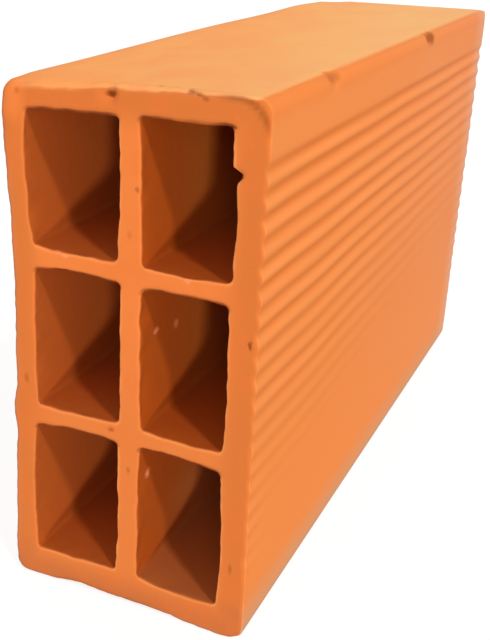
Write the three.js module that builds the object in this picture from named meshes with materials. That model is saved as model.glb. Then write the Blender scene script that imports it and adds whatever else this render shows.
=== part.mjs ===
// Hollow clay brick with six cells, standing on its narrow long face.
//
// Soft clay is pressed through a die as one endless column. The die's cores leave the cells and
// one combed plate leaves the long ribs on the right wide face. Wires cut the column across, and
// the cut bricks are dried and fired. So the whole brick is one section, drawn once and extruded.
//
// Millimetres, +Z up. Y runs along the cells, X across the brick. The origin is the middle of the
// face that the brick stands on.

import * as THREE from 'three';

// Overall size after firing.
const width = 98;
const height = 199;
const length = 320;

// Shell and webs.
const leftWall = 10.4;
const rightWall = 11.5;
const topWall = 9.3;
const bottomWall = 14.6;
const uprightWeb = 8.9;
const crossWeb = 7.9;

// Cells: the right-hand column and the lowest row take the room that is left.
const leftCellWidth = 34.8;
const topCellHeight = 50.6;
const middleCellHeight = 53.6;
const cellCornerRadius = 1.6;

// Ribbing of the right wide face, between a plain band along the top and one along the foot. The
// left wide face is plain.
const topBand = 18.5;
const footBand = 15.5;
const ribPitch = 7.9;
const grooveDepth = 1.4;

// Long edges come off the die rounded, and the wire-cut rims wear round in handling.
const longEdgeRadius = 6;
const rimRadius = 1.2;

// Facets.
const stepsPerRib = 8;
const curveSegments = 3;
const rimSegments = 2;

const left = -width / 2;
const right = width / 2;

// Grooves fill the room between the bands with a whole number of waves near the wanted pitch.
const ribbedHeight = height - topBand - footBand;
const grooveCount = Math.max(1, Math.round(ribbedHeight / ribPitch));
const ribSteps = grooveCount * stepsPerRib;

// How far the wide face lies below its crests at one step of the ribbing: a cosine wave that
// starts and ends flush with the plain bands.
function grooveAt(step) {
  return (grooveDepth / 2) * (1 - Math.cos((2 * Math.PI * step) / stepsPerRib));
}

function ribHeightAt(step) {
  return footBand + (ribbedHeight * step) / ribSteps;
}

// The outer outline, anticlockwise from the foot's left end. Its y is the brick's height.
function drawOutline() {
  const outline = new THREE.Shape();
  const r = longEdgeRadius;
  outline.moveTo(left + r, 0);
  outline.lineTo(right - r, 0);
  outline.absarc(right - r, r, r, -Math.PI / 2, 0, false);
  for (let step = 0; step <= ribSteps; step++) {
    outline.lineTo(right - grooveAt(step), ribHeightAt(step));
  }
  outline.lineTo(right, height - r);
  outline.absarc(right - r, height - r, r, 0, Math.PI / 2, false);
  outline.lineTo(left + r, height);
  outline.absarc(left + r, height - r, r, Math.PI / 2, Math.PI, false);
  outline.lineTo(left, r);
  outline.absarc(left + r, r, r, Math.PI, 1.5 * Math.PI, false);
  return outline;
}

// One cell, a rectangle with rounded corners, clockwise as a hole runs.
function drawCell(cell) {
  const { x0, x1, z0, z1 } = cell;
  const r = Math.min(cellCornerRadius, (x1 - x0) / 2, (z1 - z0) / 2);
  const hole = new THREE.Path();
  hole.moveTo(x0, z0 + r);
  hole.lineTo(x0, z1 - r);
  hole.absarc(x0 + r, z1 - r, r, Math.PI, Math.PI / 2, true);
  hole.lineTo(x1 - r, z1);
  hole.absarc(x1 - r, z1 - r, r, Math.PI / 2, 0, true);
  hole.lineTo(x1, z0 + r);
  hole.absarc(x1 - r, z0 + r, r, 0, -Math.PI / 2, true);
  hole.lineTo(x0 + r, z0);
  hole.absarc(x0 + r, z0 + r, r, -Math.PI / 2, -Math.PI, true);
  return hole;
}

// Two columns of cells from the walls and the upright web.
const columns = [
  { x0: left + leftWall, x1: left + leftWall + leftCellWidth },
  { x0: left + leftWall + leftCellWidth + uprightWeb, x1: right - rightWall },
];

// Three rows of cells from the top down, parted by the cross webs.
const topCellFoot = height - topWall - topCellHeight;
const middleCellTop = topCellFoot - crossWeb;
const middleCellFoot = middleCellTop - middleCellHeight;
const rows = [
  { z0: topCellFoot, z1: height - topWall },
  { z0: middleCellFoot, z1: middleCellTop },
  { z0: bottomWall, z1: middleCellFoot - crossWeb },
];

const section = drawOutline();
for (const column of columns) {
  for (const row of rows) {
    section.holes.push(drawCell({ ...column, ...row }));
  }
}

// The section is extruded along its own z and then laid along Y. The rim's quarter round takes
// its radius off the outline and off every cell mouth at both cut ends.
const geometry = new THREE.ExtrudeGeometry(section, {
  depth: length - 2 * rimRadius,
  curveSegments,
  bevelEnabled: true,
  bevelThickness: rimRadius,
  bevelSize: rimRadius,
  bevelOffset: -rimRadius,
  bevelSegments: rimSegments,
});
geometry.translate(0, 0, rimRadius - length / 2);
geometry.rotateX(Math.PI / 2);

const firedClay = new THREE.MeshStandardMaterial({ color: 0xee8443, roughness: 0.9, metalness: 0 });

const brick = new THREE.Mesh(geometry, firedClay);
brick.name = 'brick';

const hollowBrick = new THREE.Group();
hollowBrick.add(brick);

export default hollowBrick;
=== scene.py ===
import math

import bmesh
import bpy
import numpy as np
from mathutils import Matrix, Vector, noise


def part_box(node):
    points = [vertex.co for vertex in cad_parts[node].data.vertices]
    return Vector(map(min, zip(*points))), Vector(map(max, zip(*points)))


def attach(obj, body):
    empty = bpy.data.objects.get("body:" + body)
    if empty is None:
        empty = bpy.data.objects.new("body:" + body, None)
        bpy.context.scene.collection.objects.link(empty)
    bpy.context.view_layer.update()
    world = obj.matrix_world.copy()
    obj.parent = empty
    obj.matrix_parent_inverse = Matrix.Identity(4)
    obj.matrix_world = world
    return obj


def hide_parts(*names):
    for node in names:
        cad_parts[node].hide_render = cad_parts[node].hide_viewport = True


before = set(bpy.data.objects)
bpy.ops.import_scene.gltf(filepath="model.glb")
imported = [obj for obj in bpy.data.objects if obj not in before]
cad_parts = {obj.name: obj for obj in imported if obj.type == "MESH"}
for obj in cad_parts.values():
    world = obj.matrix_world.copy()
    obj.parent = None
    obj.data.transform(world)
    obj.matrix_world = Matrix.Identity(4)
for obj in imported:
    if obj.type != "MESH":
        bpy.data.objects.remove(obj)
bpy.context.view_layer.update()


# ---------------------------------------------------------------------------------------------
# The brick as the die and the wires leave it. Stiff clay is pressed through a die whose six cores
# leave the cells, and wires cut the column across. The cut face is a flat sheet with six holes,
# and the skin of the brick and of each cell runs from it to the far cut. Sizes in millimetres.

low, high = (np.array(corner) * 1000 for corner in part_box("brick"))
half_width = (high[0] - low[0]) / 2
half_length = (high[1] - low[1]) / 2
height = high[2] - low[2]

left_wall, upright_web, right_wall = 10.4, 8.9, 11.5
left_cell_width = 34.8
top_wall, cross_web, bottom_wall = 9.3, 7.9, 14.6
top_cell_height, middle_cell_height = 50.6, 53.6

column_edges = [
    (-half_width + left_wall, -half_width + left_wall + left_cell_width),
    (-half_width + left_wall + left_cell_width + upright_web, half_width - right_wall),
]
top_cell_foot = height - top_wall - top_cell_height
middle_cell_foot = top_cell_foot - cross_web - middle_cell_height
row_edges = [
    (top_cell_foot, height - top_wall),
    (middle_cell_foot, top_cell_foot - cross_web),
    (bottom_wall, middle_cell_foot - cross_web),
]
# The left column's cells from the top down, then the right one's.
cells = [(x0, x1, z0, z1) for x0, x1 in column_edges for z0, z1 in row_edges]


def spaced(start, end, near, step):
    """Places from start to end: the near offsets from both, and even steps between them."""
    inner = end - start - 2 * near[-1]
    count = max(1, round(inner / step))
    middle = [near[-1] + inner * i / count for i in range(1, count)]
    return [start + d for d in near] + [start + d for d in middle] + [end - d for d in reversed(near)]


def lines_across(cell_edges, first, last, cell_step, clay_step=1.6):
    """Places of the sheet's lines: close together at every edge of the clay, wider over the cells."""
    clay_near, cell_near = [0, 0.3, 0.7, 1.3, 2.1, 3.2], [0, 0.5, 1.0, 1.6]
    places, clay_from = [], first
    for cell_from, cell_to in sorted(cell_edges):
        places += spaced(clay_from, cell_from, clay_near, clay_step)
        places += spaced(cell_from, cell_to, cell_near, cell_step)
        clay_from = cell_to
    places += spaced(clay_from, last, clay_near, clay_step)
    return np.array(sorted(set(round(place, 4) for place in places)))


columns = lines_across(column_edges, -half_width, half_width, cell_step=2.1)
rows = lines_across(row_edges, 0, height, cell_step=1.0)

# Stations along the brick: close together at both cuts and where the top's right edge is chipped.
skin_near = [0, 0.35, 0.8, 1.4, 2.2, 3.2, 4.4, 6, 8, 10.5, 14]
cell_near = [0, 0.3, 0.65, 1.1, 1.7, 2.6, 4.2, 7, 12, 22, 42, 80]
skin_spacing, cell_spacing, chip_spacing = 6.5, 80, 1.5
chip_stations = [*np.arange(-107, -94, chip_spacing), *np.arange(25, 36, chip_spacing)]
even_stations = spaced(-half_length, half_length, skin_near, skin_spacing)
clear_stations = [y for y in even_stations if min(abs(y - chip) for chip in chip_stations) > 1]
skin_stations = np.array(sorted(clear_stations + chip_stations))
cell_stations = np.array(spaced(-half_length, half_length, cell_near, cell_spacing))

bpy.ops.object.select_all(action="DESELECT")
bpy.ops.mesh.primitive_grid_add(x_subdivisions=len(columns) - 1, y_subdivisions=len(rows) - 1, size=1)
brick = bpy.context.object
brick.name = brick.data.name = "fired_brick"


def read_points():
    points = np.empty(3 * len(brick.data.vertices))
    brick.data.vertices.foreach_get("co", points)
    return points.reshape(-1, 3)


def write_points(points):
    brick.data.vertices.foreach_set("co", points.ravel())
    brick.data.update()


flat = read_points()
column = np.rint((flat[:, 0] + 0.5) * (len(columns) - 1)).astype(int)
row = np.rint((flat[:, 1] + 0.5) * (len(rows) - 1)).astype(int)
write_points(np.stack([columns[column], np.full(len(flat), -half_length), rows[row]], axis=1))


def select_where(mode, test):
    """Selects the faces or edges whose middle passes the test, in edit mode."""
    bpy.ops.mesh.select_mode(type=mode)
    bpy.ops.mesh.select_all(action="DESELECT")
    form = bmesh.from_edit_mesh(brick.data)
    for item in form.edges if mode == "EDGE" else form.faces:
        middle = sum((v.co for v in item.verts), Vector()) / len(item.verts)
        if test(item, middle):
            item.select_set(True)
    form.select_flush_mode()
    bmesh.update_edit_mesh(brick.data)


# Nearer than this counts as touching.
touching = 0.01


def over_cell(x, z):
    return any(x0 < x < x1 and z0 < z < z1 for x0, x1, z0, z1 in cells)


def is_outside(middle):
    return abs(middle.x) > half_width - touching or not touching < middle.z < height - touching


def on_near_rim(edge, middle):
    return edge.is_boundary and middle.y < touching - half_length


# The holes, then the far cut face, then the cells and the skin drawn back from the near one.
bpy.ops.object.mode_set(mode="EDIT")
select_where("FACE", lambda face, middle: over_cell(middle.x, middle.z))
bpy.ops.mesh.delete(type="FACE")
bpy.ops.mesh.select_all(action="SELECT")
bpy.ops.mesh.duplicate_move(TRANSFORM_OT_translate={"value": (0, 2 * half_length, 0)})
for stations, wanted in ((cell_stations, False), (skin_stations, True)):
    select_where("EDGE", lambda edge, middle: on_near_rim(edge, middle) and is_outside(middle) == wanted)
    step = 2 * half_length / (len(stations) - 1)
    bpy.ops.mesh.extrude_repeat(steps=len(stations) - 1, offset=(0, step, 0))
bpy.ops.mesh.select_all(action="SELECT")
bpy.ops.mesh.remove_doubles(threshold=touching)
bpy.ops.mesh.normals_make_consistent(inside=False)
bpy.ops.object.mode_set(mode="OBJECT")

# The drawn steps are even, so they are moved to their stations.
blank_x, blank_y, blank_z = read_points().T
is_end = np.abs(blank_y) > half_length - touching
is_side = np.abs(blank_x) > half_width - touching
is_skin = is_side | (blank_z < touching) | (blank_z > height - touching)
for stations, members in ((skin_stations, is_skin), (cell_stations, ~is_skin)):
    share = (blank_y[members] + half_length) / (2 * half_length)
    blank_y[members] = stations[np.rint(share * (len(stations) - 1)).astype(int)]
from_front = (blank_y + half_length) / (2 * half_length)
end_depth = half_length - np.abs(blank_y)


# ---------------------------------------------------------------------------------------------
# Its section, rounded: the die's long edges, and the corners of the cores. On the right the
# foot's edge is a little sharper than the left one, more so at the front, and the top's edge
# gets sharper towards the back.

long_edge_radius, cell_corner_radius = 6.0, 1.6
foot_sharpness_front, foot_sharpness_loss = 0.28, 0.15
top_sharpness_back = 0.6
corner_reach = 3.0


def smooth(value, start, end):
    """0 at start, 1 at end and an even curve between."""
    share = np.clip((value - start) / (end - start), 0, 1)
    return share * share * (3 - 2 * share)


def to_arc(u, v):
    """Moves a point of the unit square onto the unit quarter disc."""
    return u * np.sqrt(1 - v * v / 2), v * np.sqrt(1 - u * u / 2)


def rounded_section(x, z):
    """The points of the blank with the long edges and the cell corners rounded."""
    r = long_edge_radius
    centre_z = np.clip(z, r, height - r)
    u = np.clip((np.abs(x) - (half_width - r)) / r, 0, 1)
    v = np.clip(np.abs(z - centre_z) / r, 0, 1)
    round_u, round_v = to_arc(u, v)
    foot_sharpness = foot_sharpness_front - foot_sharpness_loss * from_front
    sharpness = np.where(z < height / 2, foot_sharpness, top_sharpness_back * from_front)
    share = 1 - (x > 0) * sharpness
    new_x = x + np.sign(x) * r * (round_u - u) * share
    new_z = z + np.sign(z - centre_z) * r * (round_v - v) * share
    r = cell_corner_radius
    for x0, x1, z0, z1 in cells:
        for corner_x, inward_x in ((x0, 1), (x1, -1)):
            for corner_z, inward_z in ((z0, 1), (z1, -1)):
                away_u = (corner_x + inward_x * r - x) * inward_x / r
                away_v = (corner_z + inward_z * r - z) * inward_z / r
                u, v = np.clip(away_u, 0, 1), np.clip(away_v, 0, 1)
                gap = r * np.hypot(away_u - u, away_v - v)
                share = np.clip(1 - gap / corner_reach, 0, 1)
                round_u, round_v = to_arc(u, v)
                new_x += share * inward_x * r * (u - round_u)
                new_z += share * inward_z * r * (v - round_v)
    return new_x, new_z


def box_distance(x, z, x0, x1, z0, z1, r):
    """Distance outside a rounded rectangle, below 0 inside it, and its direction outwards."""
    away_x, away_z = x - (x0 + x1) / 2, z - (z0 + z1) / 2
    q = np.abs(away_x) - (x1 - x0) / 2 + r
    p = np.abs(away_z) - (z1 - z0) / 2 + r
    corner = np.hypot(np.maximum(q, 0), np.maximum(p, 0))
    distance = corner + np.minimum(np.maximum(q, p), 0) - r
    is_corner = corner > 1e-6
    safe = np.where(is_corner, corner, 1)
    out_x = np.where(is_corner, np.maximum(q, 0) / safe, (q > p).astype(float)) * np.sign(away_x)
    out_z = np.where(is_corner, np.maximum(p, 0) / safe, (q <= p).astype(float)) * np.sign(away_z)
    return distance, out_x, out_z


x, z = rounded_section(blank_x, blank_z)
y = blank_y.copy()
end_sign = np.sign(y)

# Distances in the clay: from the outer outline, and from the nearest cell.
outline = (-half_width, half_width, 0, height)
outer_distance, outer_x, outer_z = box_distance(x, z, *outline, long_edge_radius)
outer_distance, outer_x, outer_z = np.maximum(-outer_distance, 0), -outer_x, -outer_z
cell_distance = np.full(len(x), 1e3)
cell_x, cell_z = np.zeros(len(x)), np.zeros(len(x))
for cell in cells:
    distance, away_x, away_z = box_distance(x, z, *cell, cell_corner_radius)
    nearer = distance < cell_distance
    cell_distance[nearer] = distance[nearer]
    cell_x[nearer], cell_z[nearer] = away_x[nearer], away_z[nearer]
is_cell_wall = ~is_skin & (cell_distance < 0.05)


# ---------------------------------------------------------------------------------------------
# Its rims: the wire leaves them sharp and handling wears them round, more at the corners that the
# brick is stood and dropped on. The top rim of each cell is torn a little rounder than the rest.

# Worn places on the front rim: x, z, extra radius and reach.
front_wear = [
    (-46, 199, 2.6, 20),
    (-18, 199, 1.5, 12),
    (8, 199, 1.0, 12),
    (-44, 0, 1.8, 10),
    (-22, 0, 3.2, 10),
    (-6, 0, 2.8, 18),
    (14, 0, 2.5, 14),
    (28, 0, 0.4, 6),
    (48.5, 0, 2.6, 4.5),
]
outer_rim_radius, least_outer_rim, most_outer_rim = 1.5, 0.7, 8
sharper_by, sharper_right_of = 0.5, (42, 46)
cell_rim_radius, least_cell_rim, most_cell_rim = 0.85, 0.35, 1.7
cell_top_rim_extra = 0.8

points = np.stack([x, y, z], axis=1)


def wobble(at, size, amount, shift):
    """An uneven value for each point: soft noise whose lumps are about size across."""
    scaled = at / size + shift
    return amount * np.array([noise.noise(Vector(p)) for p in scaled])


outer_rim = outer_rim_radius - sharper_by * smooth(x, *sharper_right_of)
outer_rim = outer_rim + wobble(points, size=9, amount=0.8, shift=3.7)
outer_rim = outer_rim + wobble(points, size=3, amount=0.5, shift=11.1)
for wear_x, wear_z, extra, reach in front_wear:
    far = np.hypot(x - wear_x, z - wear_z) / reach
    outer_rim += np.where(y < 0, extra * np.exp(-far * far), 0)
outer_rim = np.clip(outer_rim, least_outer_rim, most_outer_rim)
cell_rim = cell_rim_radius + wobble(points, size=7, amount=0.6, shift=21.3)
cell_rim = cell_rim + wobble(points, size=2.6, amount=0.35, shift=5.9)
cell_rim = np.clip(cell_rim, least_cell_rim, most_cell_rim)
cell_rim += cell_top_rim_extra * np.clip(cell_z, 0, 1)


def worn_rim(is_wall, distance, toward_x, toward_z, radius):
    """How far each point moves, across the section and in from the cut, to round a rim."""
    quarter = math.pi / 4
    on_end = is_end & (distance < radius) & (distance > -touching)
    turn = np.where(on_end, quarter * (1 + distance / radius), quarter * (1 - end_depth / radius))
    members = on_end | (is_wall & (end_depth < radius))
    sideways = np.where(members, radius * (1 - np.cos(turn)) - np.where(on_end, distance, 0), 0)
    inward = np.where(members, radius * (1 - np.sin(turn)) - np.where(on_end, 0, end_depth), 0)
    return toward_x * sideways, toward_z * sideways, inward


for move_x, move_z, inward in (
    worn_rim(is_skin, outer_distance, outer_x, outer_z, outer_rim),
    worn_rim(is_cell_wall, cell_distance, cell_x, cell_z, cell_rim),
):
    x, y, z = x + move_x, y - end_sign * inward, z + move_z


# ---------------------------------------------------------------------------------------------
# Its ribs: a combed plate of the die leaves cosine waves on the right wide face, flush with the
# plain bands above and below. They are pressed flatter low down and towards the far end, but
# close to the cuts some of their depth is left all the way down.

top_band, foot_band = 18.5, 15.5
rib_count, groove_depth = 21, 1.4
face_depth = 5.0
full_relief, cut_relief, cut_loss = 0.7, 0.3, 0.15
relief_from, relief_to, relief_rise = 30, 140, 55
close_to_cut, cut_relief_span = (24, 2), (12, 60)
stretch_along, drift_stretch, drift_pitch, drift_down = 9, 2, 8, 0.6
drift_above, drift_below, arris_shade_span = (14, 30), (182, 170), (190, 195)
highlight_lean, crest_contrast = 0.14, 0.75

rib_share = np.clip((blank_z - foot_band) / (height - top_band - foot_band), 0, 1)
near_face = smooth(half_width - blank_x, face_depth, 0.0)
near_cut = smooth(end_depth, *close_to_cut)
rise = relief_rise * from_front
relief = full_relief * smooth(blank_z, relief_from + rise, relief_to + rise) * (1 - cut_loss * near_cut)
relief = np.maximum(relief, cut_relief * near_cut * smooth(blank_z, *cut_relief_span))
drawn_points = np.stack([blank_x, blank_y / stretch_along, blank_z], axis=1)
uneven = 1 + wobble(drawn_points, size=9, amount=0.4, shift=31.7)
drift_points = np.stack([blank_x, blank_y, blank_z / drift_stretch], axis=1)
drift = wobble(drift_points, size=60, amount=0.9, shift=8.2) - drift_down
drift = near_face * drift / drift_pitch * smooth(blank_z, *drift_above) * smooth(blank_z, *drift_below)
turns = rib_count * rib_share + drift
groove = groove_depth / 2 * (1 - np.cos(2 * math.pi * turns))
x -= groove * near_face * relief * uneven
# The crests are paler and the grooves darker: partly the clay's own tint, partly a painted highlight
# leant onto each crest's upper, lit slope, and painted shade in the grooves.
crest_wave = np.cos(2 * math.pi * (turns - highlight_lean))
crest_tint_and_light = 0.5 + crest_contrast * crest_wave * near_face * relief * uneven
# Painted shade under the top arris: darker there, against the light its rounding catches.
crest_tint_and_light -= 0.5 * near_face * smooth(blank_z, *arris_shade_span)


# ---------------------------------------------------------------------------------------------
# Its warp. Each core stands a little off its place and the clay gives at the cuts, so no wall of
# a cell is quite straight. In drying, the left wall bows in and the top sags to the left, most at
# the front, and leaves a low hump near the back.

# How far the walls of each cell stand out from the drawn section: the top and the foot at their
# left end, middle and right end, then the left and the right at their foot, middle and top.
wall_shifts = [
    ((-0.2, -0.9, -1.2), (-1.3, 0.2, -0.2), (0.0, 1.5, -0.2), (-0.6, 0.9, 0.8)),
    ((-0.5, 0.8, -0.4), (0.3, 0.6, -0.3), (-0.7, 0.2, -0.4), (0.7, 1.0, 0.9)),
    ((-1.8, 0.3, -0.3), (0.4, 0.4, -0.1), (-0.2, 1.2, 0.2), (-0.3, 0.5, 0.4)),
    ((-1.1, -1.1, -1.0), (0.4, 1.1, 0.5), (-0.8, -0.3, 0.1), (0.8, 1.0, 0.2)),
    ((-1.4, -0.1, -1.0), (0.3, 1.1, 1.0), (-1.0, -0.2, -0.4), (0.3, 1.1, 0.2)),
    ((-0.3, 0.2, -1.8), (0.0, 2.3, 1.6), (0.0, -0.1, -0.7), (0.6, 1.5, 0.0)),
]
half_web, cell_reach = 4.2, 10
mouth_depth, mouth_reach = 14, 4
step_out, step_in = 0.5, 1.6
step_foot, step_notch, notch_rim = (138, 142), (174, 177.5), (0, 1.5)

# Where the clay was pressed in: a centre, its reach, and the push along x, y and z.
dents = [
    ((48.0, -101, 198.0), 7.0, (-0.9, 0, -0.7)),
    ((48.0, 31, 198.0), 5.5, (-1.3, 0, -1.0)),
    ((-47.0, -158, 197.0), 15.0, (0.2, 0.4, -0.6)),
    ((-6.1, -160, 196.0), 4.0, (0, 1.6, -0.6)),
    ((38.5, -159, 174.5), 3.0, (2.2, 0.8, 0)),
    ((-49, -160, 73), 10.0, (-1.1, 0, 0)),
    ((-44, 160, 199), 14.0, (0.5, -1.2, -1.4)),
]
bow_depth, bow_height, bow_reach = 4.0, 118, 88
bow_above, bow_below = (3, 22), (215, 150)
inner_bow, wall_bow, bow_loss = 0.35, 0.65, 0.5
top_tilt, sag_above = 2.4, (99, 199)
front_droop, back_droop = 2.1, 0.2
droop_left_of, droop_before, droop_behind = (20, -half_width), (20, -half_length), (80, half_length)
hump, hump_place, hump_reach = 0.9, 108, 30


def through(share, start, middle, end):
    """A curve that passes start at 0, middle at a half and end at 1."""
    return start + (4 * middle - 3 * start - end) * share + 2 * (start + end - 2 * middle) * share**2


def near_wall(gap):
    """1 on a cell's wall, 0 half a web behind it or some way into the cell."""
    return np.where(gap > 0, smooth(gap, half_web, 0), smooth(gap, -cell_reach, 0))


def beside(place, start, end):
    """1 along a cell's side from start to end, 0 half a web beyond them."""
    return smooth(np.maximum(start - place, place - end), half_web, 0)


for (x0, x1, z0, z1), (top, foot, left, right) in zip(cells, wall_shifts):
    share_x = np.clip((blank_x - x0) / (x1 - x0), 0, 1)
    share_z = np.clip((blank_z - z0) / (z1 - z0), 0, 1)
    in_column, in_row = beside(blank_x, x0, x1), beside(blank_z, z0, z1)
    z += through(share_x, *top) * near_wall(blank_z - z1) * in_column
    z -= through(share_x, *foot) * near_wall(z0 - blank_z) * in_column
    x += through(share_z, *right) * near_wall(blank_x - x1) * in_row
    x -= through(share_z, *left) * near_wall(x0 - blank_x) * in_row

# The cores' edges pluck at the clay, so the mouths waver, and the top right cell's wall has a step.
mouth = smooth(end_depth, mouth_depth, 0) * smooth(cell_distance, mouth_reach, 0)
plucked = wobble(points, size=8, amount=0.5, shift=41.2)
plucked = plucked + wobble(points, size=3.6, amount=0.26, shift=15.8)
x, z = x + cell_x * mouth * plucked, z + cell_z * mouth * plucked
step_wall, step_top = cells[3][1], cells[3][3]
stepped = near_wall(blank_x - step_wall) * smooth(z, *step_foot) * (blank_z < step_top + touching)
x += stepped * (step_out - step_in * smooth(z, *step_notch) * smooth(step_top - z, *notch_rim))

for centre, reach, push in dents:
    gap = np.sqrt((x - centre[0]) ** 2 + (y - centre[1]) ** 2 + (z - centre[2]) ** 2) / reach
    share = np.clip(1 - gap * gap, 0, 1) ** 2
    x, y, z = x + share * push[0], y + share * push[1], z + share * push[2]

# Before the top sags, where its pale top lies, partly a real bloom and partly painted sheen: up to
# the worn edges, and not on the front left corner.
bloom_right, bloom_left, bloom_corner = (46.8, 44.3), (48, 43), 12
bloom_and_sheen = smooth(x, *bloom_right) * smooth(-x, *bloom_left)
bloom_and_sheen *= smooth(height - z, 0.85 * outer_rim, 0.5 * outer_rim)
bloom_and_sheen *= 1 - np.exp(-(((x + half_width) / bloom_corner) ** 2) - ((y + half_length) / bloom_corner) ** 2)

bow = bow_depth * np.exp(-(((z - bow_height) / bow_reach) ** 2))
bow *= smooth(z, *bow_above) * smooth(z, *bow_below)
bow *= inner_bow * smooth(x, 31, -30) + wall_bow * smooth(x, -30, -half_width)
tilt = top_tilt * (half_width - x) / (2 * half_width)
droop = front_droop * smooth(y, *droop_before) + back_droop * smooth(y, *droop_behind)
droop -= hump * np.exp(-(((y - hump_place) / hump_reach) ** 2))
droop *= smooth(x, *droop_left_of)
x, z = x + bow * (1 - bow_loss * from_front), z - (tilt + droop) * smooth(z, *sag_above)

write_points(np.stack([x, y, z], axis=1) / 1000)
bpy.ops.object.shade_smooth()


# ---------------------------------------------------------------------------------------------
# What its finish follows: where the clay is skin, cut or cell, where it is pale or dark, and where
# light and shade are painted on it. The mesh carries these over its surface, as values from about 0 to
# 1.

far_off = 9
wall_depth = np.where(is_cell_wall, end_depth, -1)
cell_gap = np.where(is_end, cell_distance, np.where(is_cell_wall, end_depth, far_off))
# Painted shade on the outer rims: darker near the cuts, against the light their rounding catches; not on
# the right edge, and half as much along the top.
rim_shade_mask = np.where(is_end, smooth(outer_distance, 3.4, 0.3), smooth(end_depth, 3, 0.5))
rim_shade_mask *= smooth(x, 46, 36) * np.where(blank_z > height - 5, 0.5, 1)
# How strong the painted shade under each cell's top rim is, varying from place to place.
brow_shade_strength = np.clip(0.85 + wobble(points, size=9, amount=1.2, shift=52.6), 0, 1)
# Painted shade: a dark line along a crease inside the top right corner of the cut face, as under a lip
# of clay.
crease_radius, crease_depth = 11.0, 0.9
corner_gap = -box_distance(blank_x, blank_z, *outline, crease_radius)[0]
top_right = is_end * smooth(blank_x, 29, 38) * smooth(blank_z, 186, 193)
for name, values in (
    # Inside a cell, on the drawn skin, and in the webs of a cut face.
    ("inner", smooth(wall_depth, -0.2, 0.7)),
    ("skin", np.where(is_skin, smooth(end_depth, 0.1, 0.7), 0)),
    ("core", np.where(is_skin, 0, smooth(outer_distance, 5, 17))),
    # Painted shade on the outer rims, and the floors of the cells.
    ("rim_shade", rim_shade_mask),
    ("cell_floor", np.where(is_cell_wall, np.clip(-cell_z, 0, 1), 0)),
    # The rims of the cells: a painted highlight to the right and at the foot, painted shade at the top.
    ("lip_highlight", smooth(cell_gap, 1.5, 0.2) * np.clip(cell_x - 0.4 * cell_z, 0, 1)),
    ("brow_shade", smooth(cell_gap, 1.5, 0.6) * np.clip(cell_z, 0, 1) * brow_shade_strength),
    # Painted shade along a crease in the top right corner, the crests of the ribs with their painted
    # highlight, and the bloom with its painted sheen.
    ("crease_shade", top_right * smooth(np.abs(corner_gap - crease_depth), 1.7, 0.3)),
    ("crest_tint_and_light", crest_tint_and_light),
    ("bloom_and_sheen", bloom_and_sheen),
):
    layer = brick.data.attributes.new(name, "FLOAT", "POINT")
    layer.data.foreach_set("value", values.astype(np.float32))

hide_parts("brick")
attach(brick, "root")


# ---------------------------------------------------------------------------------------------
# Its finish: orange fired clay, unglazed. The cut faces show the body of the clay, the drawn skin
# is paler, the top has a yellow bloom and painted sheen, and the cells are painted darker as shade.
# Colours are linear.

class Wire:
    """A socket of a material. Maths on wires adds Math nodes, and node() adds any other."""

    def __init__(self, tree, socket=None):
        self.tree = tree
        self.socket = socket

    def node(self, kind, settings=None, sockets=None, output=0):
        made = self.tree.nodes.new("ShaderNode" + kind)
        for name, value in (settings or {}).items():
            setattr(made, name, value)
        for key, value in (sockets or {}).items():
            if isinstance(value, Wire):
                self.tree.links.new(value.socket, made.inputs[key])
            else:
                made.inputs[key].default_value = value
        return Wire(self.tree, made.outputs[output] if made.outputs else None)

    def maths(self, operation, *values):
        return self.node("Math", {"operation": operation}, dict(enumerate(values)))

    def __add__(self, other):
        return self.maths("ADD", self, other)

    def __sub__(self, other):
        return self.maths("SUBTRACT", self, other)

    def __rsub__(self, other):
        return self.maths("SUBTRACT", other, self)

    def __mul__(self, other):
        return self.maths("MULTIPLY", self, other)

    __radd__ = __add__
    __rmul__ = __mul__

    def steps(self, start, end):
        """0 below start and 1 above end, with an even curve between."""
        limits = {"Value": self, "From Min": start, "From Max": end}
        return self.node("MapRange", {"interpolation_type": "SMOOTHSTEP"}, limits)

    def blend(self, under, over):
        """The colour under this mask where it is 0 and over it where it is 1."""
        return self.node("Mix", {"data_type": "RGBA"}, {0: self, 6: under, 7: over}, output=2)


def new_material(name):
    material = bpy.data.materials.new(name)
    material.use_nodes = True
    material.node_tree.nodes.clear()
    return material, Wire(material.node_tree)


clay, clay_nodes = new_material("fired_clay")
place = clay_nodes.node("TexCoord", output="Object")


def clay_noise(size, detail=2.0, stretch=(1, 1, 1)):
    """Noise whose lumps are about size millimetres across, longer along a stretched axis."""
    scale = [1000 / size / s for s in stretch]
    mapped = clay_nodes.node("Mapping", {}, {"Vector": place, "Scale": scale})
    return clay_nodes.node("TexNoise", {}, {"Vector": mapped, "Scale": 1.0, "Detail": detail})


def mask(name):
    """The value that the mesh carries under this name."""
    return clay_nodes.node("Attribute", {"attribute_name": name}, output="Fac")


across, along_cells, up = (clay_nodes.node("SeparateXYZ", {}, {0: place}, output=i) for i in range(3))
mottle = clay_noise(30, 3, (1, 2.5, 1)).steps(0.36, 0.66)
cloud = clay_noise(16, 2, (1, 2, 1)).steps(0.38, 0.64)
streaks = clay_noise(1.6, 2, (1, 14, 1))
grain = clay_noise(0.9, 2)

# The wire-cut faces: the webs fire brighter than the shell around them.
shell_orange, shell_brown = (0.735, 0.182, 0.025, 1), (0.578, 0.153, 0.037, 1)
web_orange, low_web_orange = (0.80, 0.205, 0.041, 1), (0.735, 0.195, 0.040, 1)
cut_cloud = (0.77, 0.168, 0.031, 1)
low_or_left = across.steps(0.010, -0.040).maths("MAXIMUM", up.steps(0.035, 0.004))
shell_colour = low_or_left.blend(shell_orange, shell_brown)
core_colour = up.steps(0.130, 0.060).blend(web_orange, low_web_orange)
cut_colour = mask("core").blend(shell_colour, core_colour)
cut_colour = (cloud * 0.3).blend(cut_colour, cut_cloud)
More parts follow.
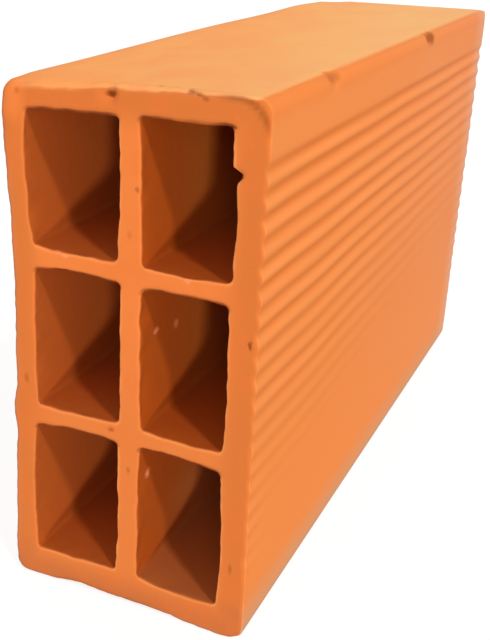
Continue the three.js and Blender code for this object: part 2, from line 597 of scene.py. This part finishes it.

# The skin is paler than the cut, more so towards the far end, and darker in the grooves, partly its own
# tint and partly painted shade, with a painted highlight on the crests' upper slopes. Dust
# lies along the foot and the far end of the ribbed side.
groove_tint_and_shade, crest_tint_and_highlight = (0.81, 0.216, 0.036, 1), (0.92, 0.294, 0.074, 1)
far_orange, skin_mottle = (0.82, 0.300, 0.132, 1), (0.93, 0.235, 0.050, 1)
low_orange = (0.98, 0.300, 0.072, 1)
foot_dust, far_dust = (0.68, 0.340, 0.170, 1), (0.78, 0.390, 0.240, 1)
skin_colour = mask("crest_tint_and_light").blend(groove_tint_and_shade, crest_tint_and_highlight)
skin_colour = (along_cells.steps(-0.13, 0.22) * 0.6).blend(skin_colour, far_orange)
skin_colour = (mottle * 0.2).blend(skin_colour, skin_mottle)
skin_colour = (up.steps(0.100, 0.020) * 0.3).blend(skin_colour, low_orange)
rightward = across.steps(-0.050, -0.020)
skin_colour = (up.steps(0.022, 0.0) * rightward * 0.9).blend(skin_colour, foot_dust)
skin_colour = (along_cells.steps(0.132, 0.160) * rightward * 0.7).blend(skin_colour, far_dust)

# The pale top: partly a real bloom, partly painted sheen where the light falls strongest; yellower and
# paler towards the far right corner.
bloom_orange, bloom_yellow = (0.97, 0.350, 0.092, 1), (0.94, 0.510, 0.195, 1)
bloom_edge = (0.80, 0.320, 0.120, 1)
bloom_mottle, bloom_cloud = (0.93, 0.350, 0.120, 1), (0.94, 0.500, 0.140, 1)
paler = (along_cells * 0.8 + across * 3.2).steps(-0.22, 0.26)
bloom_and_sheen_colour = paler.blend(bloom_orange, bloom_yellow)
bloom_and_sheen_colour = (across.steps(-0.036, -0.046) * 0.6).blend(bloom_and_sheen_colour, bloom_edge)
bloom_and_sheen_colour = (mottle * 0.38).blend(bloom_and_sheen_colour, bloom_mottle)
bloom_and_sheen_colour = (cloud * 0.25).blend(bloom_and_sheen_colour, bloom_cloud)

# The cells: their walls are painted darker than the clay, as painted shade. Deep in, the left cells are
# painted darker still and the right ones paler, as painted light, most in the top and the lowest one;
# the lowest right one's floor too.
left_cell_mouth, left_cell_deep = (0.53, 0.106, 0.0120, 1), (0.495, 0.100, 0.0115, 1)
right_cell_mouth, right_cell_deep = (0.470, 0.080, 0.0015, 1), (0.53, 0.122, 0.0105, 1)
low_cell_deep, top_cell_deep = (0.60, 0.180, 0.0450, 1), (0.64, 0.170, 0.0180, 1)
cell_floor_shade_brown, low_floor_light_brown = (0.36, 0.062, 0.005, 1), (0.45, 0.130, 0.0320, 1)
deep = clay_nodes.maths("ABSOLUTE", along_cells).steps(0.150, 0.100)
in_right_cells = across.steps(-0.012, 0.012)
right_inner = deep.blend(right_cell_mouth, right_cell_deep)
right_inner = (up.steps(0.046, 0.030) * deep * 0.7).blend(right_inner, low_cell_deep)
right_inner = (up.steps(0.134, 0.140) * deep * 0.5).blend(right_inner, top_cell_deep)
cell_painted_shade_colour = in_right_cells.blend(deep.blend(left_cell_mouth, left_cell_deep), right_inner)
# Painted shade on the cell floors, then painted light on the lowest right cell's floor.
cell_painted_shade_colour = (mask("cell_floor") * 0.5).blend(cell_painted_shade_colour, cell_floor_shade_brown)
low_floor_painted_light = mask("cell_floor") * up.steps(0.045, 0.030) * in_right_cells
cell_painted_shade_colour = (low_floor_painted_light * 0.6).blend(cell_painted_shade_colour, low_floor_light_brown)

# All of it together, with painted shade on the outer rims, a painted highlight on the cells' right and
# lower lips, and painted shade on their top brows.
rim_shade_brown = (0.58, 0.200, 0.085, 1)
# The painted highlight on the cells' lips, and the painted shade under their top rims.
lip_highlight_orange, brow_shade_brown = (0.94, 0.31, 0.085, 1), (0.20, 0.034, 0.004, 1)
colour = mask("skin").blend(cut_colour, skin_colour)
# The pale top, bloom and painted sheen.
colour = mask("bloom_and_sheen").blend(colour, bloom_and_sheen_colour)
colour = (mask("rim_shade") * 0.6).blend(colour, rim_shade_brown)
# The cells' painted shade and light.
colour = mask("inner").blend(colour, cell_painted_shade_colour)
# The painted highlight on the cells' right and lower rims.
colour = (mask("lip_highlight") * 0.8).blend(colour, lip_highlight_orange)
# The painted shade under the cells' top rims.
colour = (mask("brow_shade") * 0.85).blend(colour, brow_shade_brown)

# Nicks, pits and crumbs: a place, its reach along x, y and z, and how dark or pale it is. The dark
# ones are partly dark clay and partly painted shade in the nicks and pits.
tear, tear_scale = 0.0018, 500.0
tear_inputs = {"Vector": place, "Scale": tear_scale, "Detail": 2.0}
tear_noise = clay_nodes.node("TexNoise", {}, tear_inputs, output="Color")
tear_parts = {0: tear_noise, 1: [tear] * 3, 2: [-tear / 2] * 3}
tear_shift = clay_nodes.node("VectorMath", {"operation": "MULTIPLY_ADD"}, tear_parts)
torn = clay_nodes.node("VectorMath", {"operation": "ADD"}, {0: place, 1: tear_shift})


def spot(centre, reach):
    """A mask that is 1 in the middle of an ellipsoid and 0 outside it, with a torn outline."""
    middle, half_sizes = [c / 1000 for c in centre], [r / 1000 for r in reach]
    offset = clay_nodes.node("VectorMath", {"operation": "SUBTRACT"}, {0: torn, 1: middle})
    shares = clay_nodes.node("VectorMath", {"operation": "DIVIDE"}, {0: offset, 1: half_sizes})
    from_middle = clay_nodes.node("VectorMath", {"operation": "LENGTH"}, {0: shares}, output="Value")
    return from_middle.steps(1.0, 0.2)


pit_brown_and_shade, crumb_pink = (0.22, 0.040, 0.001, 1), (0.95, 0.30, 0.13, 1)
worn_orange = (0.93, 0.24, 0.050, 1)
worn_corner = ((-42.5, -159, 189.0), (7, 6, 12))
dark_marks = [
    ((-5.6, -159, 193.8), (3.0, 4, 1.6), 1.0),
    ((22.8, -159, 197.5), (2.2, 4, 1.2), 0.7),
    ((25.2, -159, 196.9), (2.2, 4, 1.2), 0.7),
    ((27.4, -159, 196.2), (1.8, 4, 1.1), 0.5),
    ((-1.0, -157, 199), (3.4, 2.6, 2), 0.3),
    ((11.0, -158, 199), (2.2, 1.8, 2), 0.3),
    ((4.4, -160, 164.4), (1.1, 2, 1.7), 0.5),
    ((1.5, -160, 148.9), (1.3, 2, 2.0), 0.2),
    ((1.7, -160, 59.8), (1.3, 2, 2.1), 0.35),
    ((-40.4, -160, 86.8), (1.3, 2, 3.2), 0.35),
    ((-5.4, -160, 74.8), (2.2, 2, 1.5), 0.5),
    ((46.2, -160, 118.9), (0.9, 2, 2.6), 0.75),
    ((43.3, -160, 30.8), (1.0, 2, 3.0), 0.4),
    ((-40.7, -160, 190.8), (1.8, 2, 1.6), 0.3),
    ((47.5, -100, 197.0), (4.5, 8.0, 3.4), 0.42),
    ((47.8, 35, 196.4), (4.4, 9.0, 4.6), 0.75),
]
pale_marks = [
    ((-26.5, -160, 137.9), (2.2, 2, 1.0), 0.7),
    ((-23.2, -160, 137.0), (1.8, 2, 1.0), 0.7),
    ((23.0, -160, 136.8), (2.0, 2, 1.2), 0.5),
    ((5.1, -147.9, 111.0), (2.5, 3.0, 2.0), 1.0),
    ((5.1, -132.2, 108.2), (2.5, 3.0, 2.6), 0.6),
    ((5.1, -152.6, 56.1), (2.5, 2.6, 2.8), 1.0),
]
colour = (spot(*worn_corner) * 0.5).blend(colour, worn_orange)
# The dark marks start from the crease's painted shade.
dark, pale_crumbs = mask("crease_shade") * 0.5, 0.0
for centre, reach, strength in dark_marks:
    dark = spot(centre, reach) * strength + dark
for centre, reach, strength in pale_marks:
    pale_crumbs = spot(centre, reach) * strength + pale_crumbs
colour = clay_nodes.maths("MINIMUM", dark, 1.0).blend(colour, pit_brown_and_shade)
colour = pale_crumbs.blend(colour, crumb_pink)

height_map = grain * 0.3 + clay_noise(3.0, 2) * 0.5 + streaks * mask("skin") * 0.4 - dark * 0.4
bump = clay_nodes.node("Bump", {}, {"Strength": 0.35, "Distance": 0.0004, "Height": height_map})
matt_clay = {"Base Color": colour, "Roughness": 0.9, "Specular IOR Level": 0.2, "Normal": bump}
surface = clay_nodes.node("BsdfPrincipled", {}, matt_clay)
clay_nodes.node("OutputMaterial", {}, {"Surface": surface})
brick.data.materials.clear()
brick.data.materials.append(clay)


# ---------------------------------------------------------------------------------------------
# Studio: a pale floor, soft light and the camera. The floor casts no shadow, so the low bounce
# lamp reaches the brick through it. Metres and degrees.

floor_size = 30
floor_grey, floor_pale, floor_glow = (0.35, 0.35, 0.35, 1), (0.95, 0.95, 0.95, 1), 0.75
lamps = [
    ("key", 54, 47, 1.1, 5),
    ("bounce", 32, -13, 1.4, 7),
    ("fill", 22, 18, 0.4, 20),
]
sky_strength = 0.7
camera_place = Vector((0.15791, -0.44095, 0.25520))
view_azimuth, view_elevation, view_roll = 22.0862, 22.8108, 3.1378
lens_millimetres = 57.775

bpy.ops.object.select_all(action="DESELECT")
bpy.ops.mesh.primitive_plane_add(size=floor_size, location=(0, 0, 0))
floor = bpy.context.object
floor.name = "floor"
floor.visible_shadow = False
paper, floor_nodes = new_material("pale_floor")
matt = floor_nodes.node("BsdfDiffuse", {}, {"Color": floor_grey})
seen = floor_nodes.node("BsdfDiffuse", {}, {"Color": floor_pale})
glow = floor_nodes.node("Emission", {}, {"Color": (1, 1, 1, 1), "Strength": 1.1})
pale = floor_nodes.node("MixShader", {}, {0: floor_glow, 1: seen, 2: glow})
camera_ray = floor_nodes.node("LightPath", output="Is Camera Ray")
floor_surface = floor_nodes.node("MixShader", {}, {0: camera_ray, 1: matt, 2: pale})
floor_nodes.node("OutputMaterial", {}, {"Surface": floor_surface})
floor.data.materials.append(paper)


def direction(azimuth, elevation):
    """From the brick towards a place: azimuth from the front cut face towards the right."""
    a, e = math.radians(azimuth), math.radians(elevation)
    return Vector((math.sin(a) * math.cos(e), -math.cos(a) * math.cos(e), math.sin(e)))


for name, azimuth, elevation, strength, softness in lamps:
    light = bpy.data.lights.new(name, "SUN")
    light.energy = strength
    light.angle = math.radians(softness)
    lamp = bpy.data.objects.new(name, light)
    lamp.rotation_euler = direction(azimuth, elevation).to_track_quat("Z", "Y").to_euler()
    bpy.context.scene.collection.objects.link(lamp)

world = bpy.data.worlds.new("studio")
bpy.context.scene.world = world
world.use_nodes = True
world.node_tree.nodes.clear()
world.cycles.sampling_method = "NONE"
sky_nodes = Wire(world.node_tree)
sky = sky_nodes.node("Background", {}, {"Color": (1, 1, 1, 1), "Strength": sky_strength})
white = sky_nodes.node("Background", {}, {"Color": (1, 1, 1, 1), "Strength": 1.0})
camera_ray = sky_nodes.node("LightPath", output="Is Camera Ray")
backdrop = sky_nodes.node("MixShader", {}, {0: camera_ray, 1: sky, 2: white})
sky_nodes.node("OutputWorld", {}, {"Surface": backdrop})

lens = bpy.data.cameras.new("camera")
lens.lens = lens_millimetres
camera = bpy.data.objects.new("camera", lens)
back = direction(view_azimuth, view_elevation)
camera.matrix_world = (
    Matrix.Translation(camera_place)
    @ Matrix.Rotation(math.radians(view_roll), 4, back)
    @ back.to_track_quat("Z", "Y").to_matrix().to_4x4()
)
bpy.context.scene.collection.objects.link(camera)
bpy.context.scene.camera = camera
bpy.context.scene.view_settings.view_transform = "Standard"
